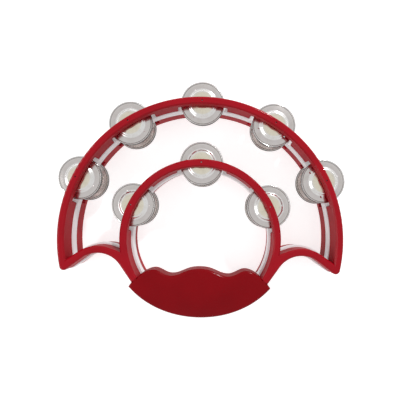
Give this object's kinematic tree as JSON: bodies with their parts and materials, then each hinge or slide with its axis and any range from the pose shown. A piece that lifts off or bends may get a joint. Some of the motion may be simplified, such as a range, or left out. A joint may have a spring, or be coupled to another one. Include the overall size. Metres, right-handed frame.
{
  "type": "tambourine",
  "caption": "Crescent-shaped cutaway tambourine with an inner hand ring, a moulded grip and two rows of loose paired jingles on pins.",
  "frame": {"origin": "middle of the underside of the whole object's box, the tambourine lying on its back rails", "axes": "+X across the arch to the right, +Y from the grip towards the top of the arch, +Z out of the front face"},
  "size_m": [0.2774, 0.2276, 0.046],
  "materials": {
    "shell_red": "gloss",
    "frame_white": "satin",
    "grip_red": "satin",
    "pin_steel": "satin",
    "jingle_nickel": "polished",
    "screw_steel": "satin"
  },
  "bodies": {
    "frame": {"front_shell": "shell_red", "middle_frame": "frame_white", "back_shell": "shell_red", "front_grip_cover": "grip_red", "back_grip_cover": "grip_red", "grip_screws": "screw_steel"},
    "arch_1_pin": {"arch_1_pin": "pin_steel"},
    "arch_1_front_jingle_a": {"arch_1_front_jingle_a": "jingle_nickel"},
    "arch_1_front_jingle_b": {"arch_1_front_jingle_b": "jingle_nickel"},
    "arch_1_rear_jingle_a": {"arch_1_rear_jingle_a": "jingle_nickel"},
    "arch_1_rear_jingle_b": {"arch_1_rear_jingle_b": "jingle_nickel"},
    "arch_2_pin": {"arch_2_pin": "pin_steel"},
    "arch_2_front_jingle_a": {"arch_2_front_jingle_a": "jingle_nickel"},
    "arch_2_front_jingle_b": {"arch_2_front_jingle_b": "jingle_nickel"},
    "arch_2_rear_jingle_a": {"arch_2_rear_jingle_a": "jingle_nickel"},
    "arch_2_rear_jingle_b": {"arch_2_rear_jingle_b": "jingle_nickel"},
    "arch_3_pin": {"arch_3_pin": "pin_steel"},
    "arch_3_front_jingle_a": {"arch_3_front_jingle_a": "jingle_nickel"},
    "arch_3_front_jingle_b": {"arch_3_front_jingle_b": "jingle_nickel"},
    "arch_4_pin": {"arch_4_pin": "pin_steel"},
    "arch_4_front_jingle_a": {"arch_4_front_jingle_a": "jingle_nickel"},
    "arch_4_front_jingle_b": {"arch_4_front_jingle_b": "jingle_nickel"},
    "arch_4_rear_jingle_a": {"arch_4_rear_jingle_a": "jingle_nickel"},
    "arch_4_rear_jingle_b": {"arch_4_rear_jingle_b": "jingle_nickel"},
    "arch_5_pin": {"arch_5_pin": "pin_steel"},
    "arch_5_front_jingle_a": {"arch_5_front_jingle_a": "jingle_nickel"},
    "arch_5_front_jingle_b": {"arch_5_front_jingle_b": "jingle_nickel"},
    "arch_5_rear_jingle_a": {"arch_5_rear_jingle_a": "jingle_nickel"},
    "arch_5_rear_jingle_b": {"arch_5_rear_jingle_b": "jingle_nickel"},
    "ring_1_pin": {"ring_1_pin": "pin_steel"},
    "ring_1_front_jingle_a": {"ring_1_front_jingle_a": "jingle_nickel"},
    "ring_1_front_jingle_b": {"ring_1_front_jingle_b": "jingle_nickel"},
    "ring_1_rear_jingle_a": {"ring_1_rear_jingle_a": "jingle_nickel"},
    "ring_1_rear_jingle_b": {"ring_1_rear_jingle_b": "jingle_nickel"},
    "ring_2_pin": {"ring_2_pin": "pin_steel"},
    "ring_2_front_jingle_a": {"ring_2_front_jingle_a": "jingle_nickel"},
    "ring_2_front_jingle_b": {"ring_2_front_jingle_b": "jingle_nickel"},
    "ring_2_rear_jingle_a": {"ring_2_rear_jingle_a": "jingle_nickel"},
    "ring_2_rear_jingle_b": {"ring_2_rear_jingle_b": "jingle_nickel"},
    "ring_3_pin": {"ring_3_pin": "pin_steel"},
    "ring_3_front_jingle_a": {"ring_3_front_jingle_a": "jingle_nickel"},
    "ring_3_front_jingle_b": {"ring_3_front_jingle_b": "jingle_nickel"},
    "ring_3_rear_jingle_a": {"ring_3_rear_jingle_a": "jingle_nickel"},
    "ring_3_rear_jingle_b": {"ring_3_rear_jingle_b": "jingle_nickel"}
  },
  "joints": [
    {"name": "arch_1_turn", "type": "hinge", "parent": "frame", "child": "arch_1_pin", "pos_m": [-0.11774, 0.01918, 0.023], "axis": [0, 0, 1], "continuous": true},
    {"name": "arch_1_front_slide_a", "type": "slide", "parent": "arch_1_pin", "child": "arch_1_front_jingle_a", "axis": [0, 0, 1], "range_m": [-0.00065, 0.0011]},
    {"name": "arch_1_front_slide_b", "type": "slide", "parent": "arch_1_pin", "child": "arch_1_front_jingle_b", "axis": [0, 0, 1], "range_m": [-0.0011, 0.00065]},
    {"name": "arch_1_rear_slide_a", "type": "slide", "parent": "arch_1_pin", "child": "arch_1_rear_jingle_a", "axis": [0, 0, 1], "range_m": [-0.00065, 0.0011]},
    {"name": "arch_1_rear_slide_b", "type": "slide", "parent": "arch_1_pin", "child": "arch_1_rear_jingle_b", "axis": [0, 0, 1], "range_m": [-0.0011, 0.00065]},
    {"name": "arch_2_turn", "type": "hinge", "parent": "frame", "child": "arch_2_pin", "pos_m": [-0.06942, 0.07284, 0.023], "axis": [0, 0, 1], "continuous": true},
    {"name": "arch_2_front_slide_a", "type": "slide", "parent": "arch_2_pin", "child": "arch_2_front_jingle_a", "axis": [0, 0, 1], "range_m": [-0.00065, 0.0011]},
    {"name": "arch_2_front_slide_b", "type": "slide", "parent": "arch_2_pin", "child": "arch_2_front_jingle_b", "axis": [0, 0, 1], "range_m": [-0.0011, 0.00065]},
    {"name": "arch_2_rear_slide_a", "type": "slide", "parent": "arch_2_pin", "child": "arch_2_rear_jingle_a", "axis": [0, 0, 1], "range_m": [-0.00065, 0.0011]},
    {"name": "arch_2_rear_slide_b", "type": "slide", "parent": "arch_2_pin", "child": "arch_2_rear_jingle_b", "axis": [0, 0, 1], "range_m": [-0.0011, 0.00065]},
    {"name": "arch_3_turn", "type": "hinge", "parent": "frame", "child": "arch_3_pin", "pos_m": [0, 0.09275, 0.023], "axis": [0, 0, 1], "continuous": true},
    {"name": "arch_3_front_slide_a", "type": "slide", "parent": "arch_3_pin", "child": "arch_3_front_jingle_a", "axis": [0, 0, 1], "range_m": [-0.00065, 0.0011]},
    {"name": "arch_3_front_slide_b", "type": "slide", "parent": "arch_3_pin", "child": "arch_3_front_jingle_b", "axis": [0, 0, 1], "range_m": [-0.0011, 0.00065]},
    {"name": "arch_4_turn", "type": "hinge", "parent": "frame", "child": "arch_4_pin", "pos_m": [0.06942, 0.07284, 0.023], "axis": [0, 0, 1], "continuous": true},
    {"name": "arch_4_front_slide_a", "type": "slide", "parent": "arch_4_pin", "child": "arch_4_front_jingle_a", "axis": [0, 0, 1], "range_m": [-0.00065, 0.0011]},
    {"name": "arch_4_front_slide_b", "type": "slide", "parent": "arch_4_pin", "child": "arch_4_front_jingle_b", "axis": [0, 0, 1], "range_m": [-0.0011, 0.00065]},
    {"name": "arch_4_rear_slide_a", "type": "slide", "parent": "arch_4_pin", "child": "arch_4_rear_jingle_a", "axis": [0, 0, 1], "range_m": [-0.00065, 0.0011]},
    {"name": "arch_4_rear_slide_b", "type": "slide", "parent": "arch_4_pin", "child": "arch_4_rear_jingle_b", "axis": [0, 0, 1], "range_m": [-0.0011, 0.00065]},
    {"name": "arch_5_turn", "type": "hinge", "parent": "frame", "child": "arch_5_pin", "pos_m": [0.11774, 0.01918, 0.023], "axis": [0, 0, 1], "continuous": true},
    {"name": "arch_5_front_slide_a", "type": "slide", "parent": "arch_5_pin", "child": "arch_5_front_jingle_a", "axis": [0, 0, 1], "range_m": [-0.00065, 0.0011]},
    {"name": "arch_5_front_slide_b", "type": "slide", "parent": "arch_5_pin", "child": "arch_5_front_jingle_b", "axis": [0, 0, 1], "range_m": [-0.0011, 0.00065]},
    {"name": "arch_5_rear_slide_a", "type": "slide", "parent": "arch_5_pin", "child": "arch_5_rear_jingle_a", "axis": [0, 0, 1], "range_m": [-0.00065, 0.0011]},
    {"name": "arch_5_rear_slide_b", "type": "slide", "parent": "arch_5_pin", "child": "arch_5_rear_jingle_b", "axis": [0, 0, 1], "range_m": [-0.0011, 0.00065]},
    {"name": "ring_1_turn", "type": "hinge", "parent": "frame", "child": "ring_1_pin", "pos_m": [-0.06561, -0.00625, 0.023], "axis": [0, 0, 1], "continuous": true},
    {"name": "ring_1_front_slide_a", "type": "slide", "parent": "ring_1_pin", "child": "ring_1_front_jingle_a", "axis": [0, 0, 1], "range_m": [-0.00065, 0.0011]},
    {"name": "ring_1_front_slide_b", "type": "slide", "parent": "ring_1_pin", "child": "ring_1_front_jingle_b", "axis": [0, 0, 1], "range_m": [-0.0011, 0.00065]},
    {"name": "ring_1_rear_slide_a", "type": "slide", "parent": "ring_1_pin", "child": "ring_1_rear_jingle_a", "axis": [0, 0, 1], "range_m": [-0.00065, 0.0011]},
    {"name": "ring_1_rear_slide_b", "type": "slide", "parent": "ring_1_pin", "child": "ring_1_rear_jingle_b", "axis": [0, 0, 1], "range_m": [-0.0011, 0.00065]},
    {"name": "ring_2_turn", "type": "hinge", "parent": "frame", "child": "ring_2_pin", "pos_m": [0, 0.03475, 0.023], "axis": [0, 0, 1], "continuous": true},
    {"name": "ring_2_front_slide_a", "type": "slide", "parent": "ring_2_pin", "child": "ring_2_front_jingle_a", "axis": [0, 0, 1], "range_m": [-0.00065, 0.0011]},
    {"name": "ring_2_front_slide_b", "type": "slide", "parent": "ring_2_pin", "child": "ring_2_front_jingle_b", "axis": [0, 0, 1], "range_m": [-0.0011, 0.00065]},
    {"name": "ring_2_rear_slide_a", "type": "slide", "parent": "ring_2_pin", "child": "ring_2_rear_jingle_a", "axis": [0, 0, 1], "range_m": [-0.00065, 0.0011]},
    {"name": "ring_2_rear_slide_b", "type": "slide", "parent": "ring_2_pin", "child": "ring_2_rear_jingle_b", "axis": [0, 0, 1], "range_m": [-0.0011, 0.00065]},
    {"name": "ring_3_turn", "type": "hinge", "parent": "frame", "child": "ring_3_pin", "pos_m": [0.06561, -0.00625, 0.023], "axis": [0, 0, 1], "continuous": true},
    {"name": "ring_3_front_slide_a", "type": "slide", "parent": "ring_3_pin", "child": "ring_3_front_jingle_a", "axis": [0, 0, 1], "range_m": [-0.00065, 0.0011]},
    {"name": "ring_3_front_slide_b", "type": "slide", "parent": "ring_3_pin", "child": "ring_3_front_jingle_b", "axis": [0, 0, 1], "range_m": [-0.0011, 0.00065]},
    {"name": "ring_3_rear_slide_a", "type": "slide", "parent": "ring_3_pin", "child": "ring_3_rear_jingle_a", "axis": [0, 0, 1], "range_m": [-0.00065, 0.0011]},
    {"name": "ring_3_rear_slide_b", "type": "slide", "parent": "ring_3_pin", "child": "ring_3_rear_jingle_b", "axis": [0, 0, 1], "range_m": [-0.0011, 0.00065]}
  ]
}
